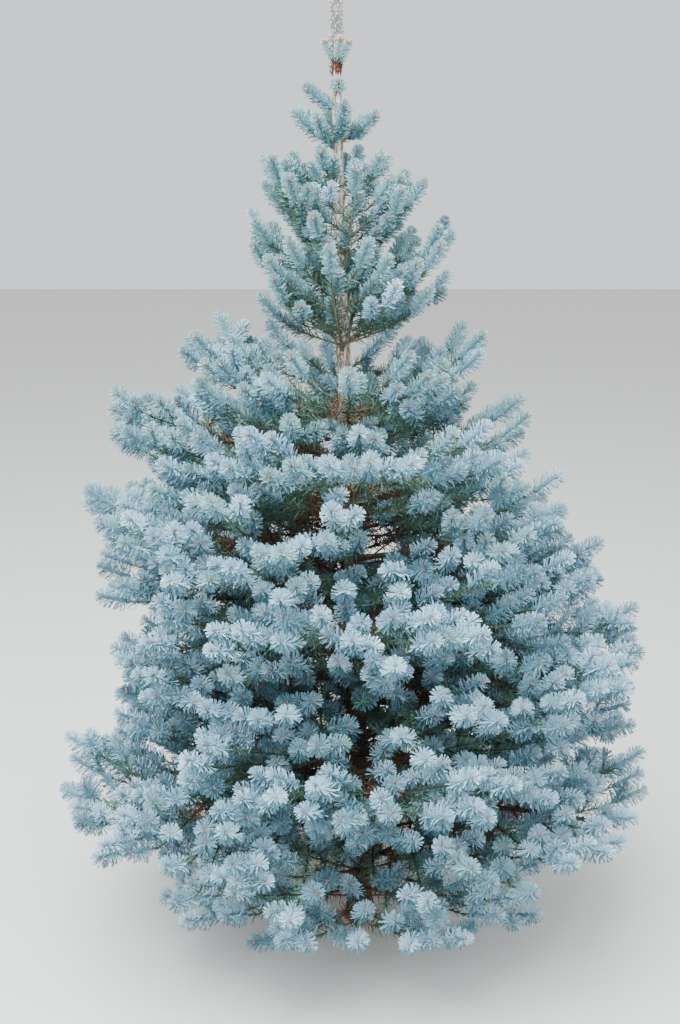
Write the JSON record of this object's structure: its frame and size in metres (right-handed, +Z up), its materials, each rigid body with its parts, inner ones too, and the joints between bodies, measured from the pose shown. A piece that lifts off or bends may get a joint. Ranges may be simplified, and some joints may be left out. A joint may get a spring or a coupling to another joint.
{
  "type": "dwarf subalpine fir tree",
  "caption": "Slow-growing conical fir with a leaning tapered trunk, whorls of boughs in shelves and short blue-grey bottle-brush shoots, cut flat at ground level.",
  "frame": {"origin": "middle of the flat cut under the trunk, at ground level", "axes": "+Z up the trunk; -Y towards the viewer of the picture; +X to that viewer's right"},
  "size_m": [1.1689, 1.1403, 1.85],
  "materials": {
    "trunk_bark": "fissured grey-brown bark, paler towards the top",
    "bough_bark": "rough brown bark",
    "needles": "waxy blue-grey needles, green on the older twigs"
  },
  "bodies": {
    "root": {"bough_whorl08a": "bough_bark", "bough_whorl08b": "bough_bark", "bough_whorl08c": "bough_bark", "bough_whorl09a": "bough_bark", "bough_whorl09b": "bough_bark", "bough_whorl09c": "bough_bark", "bough_whorl10a": "bough_bark", "bough_whorl10b": "bough_bark", "bough_whorl10c": "bough_bark", "bough_whorl11a": "bough_bark", "bough_whorl11b": "bough_bark", "bough_whorl11c": "bough_bark", "bough_whorl12a": "bough_bark", "bough_whorl12b": "bough_bark", "bough_whorl12c": "bough_bark", "foliage_whorl01a": "needles", "foliage_whorl02a": "needles", "foliage_whorl02b": "needles", "foliage_whorl02c": "needles", "foliage_whorl02d": "needles", "foliage_whorl03a": "needles", "foliage_whorl03b": "needles", "foliage_whorl03c": "needles", "foliage_whorl03d": "needles", "foliage_whorl04a": "needles", "foliage_whorl04b": "needles", "foliage_whorl04c": "needles", "foliage_whorl04d": "needles", "foliage_whorl05a": "needles", "foliage_whorl05b": "needles", "foliage_whorl05c": "needles", "foliage_whorl05d": "needles", "foliage_whorl06a": "needles", "foliage_whorl06b": "needles", "foliage_whorl06c": "needles", "foliage_whorl06d": "needles", "foliage_whorl07a": "needles", "foliage_whorl07b": "needles", "foliage_whorl07c": "needles", "foliage_whorl08a": "needles", "foliage_whorl08b": "needles", "foliage_whorl08c": "needles", "foliage_whorl09a": "needles", "foliage_whorl09b": "needles", "foliage_whorl09c": "needles", "foliage_whorl10a": "needles", "foliage_whorl10b": "needles", "foliage_whorl10c": "needles", "foliage_whorl11a": "needles", "foliage_whorl11b": "needles", "foliage_whorl11c": "needles", "foliage_whorl12a": "needles", "foliage_whorl12b": "needles", "foliage_whorl12c": "needles", "foliage_whorl13a": "needles", "foliage_whorl13b": "needles", "foliage_whorl13c": "needles", "leader_shoots": "needles", "trunk": "trunk_bark"}
  },
  "joints": []
}
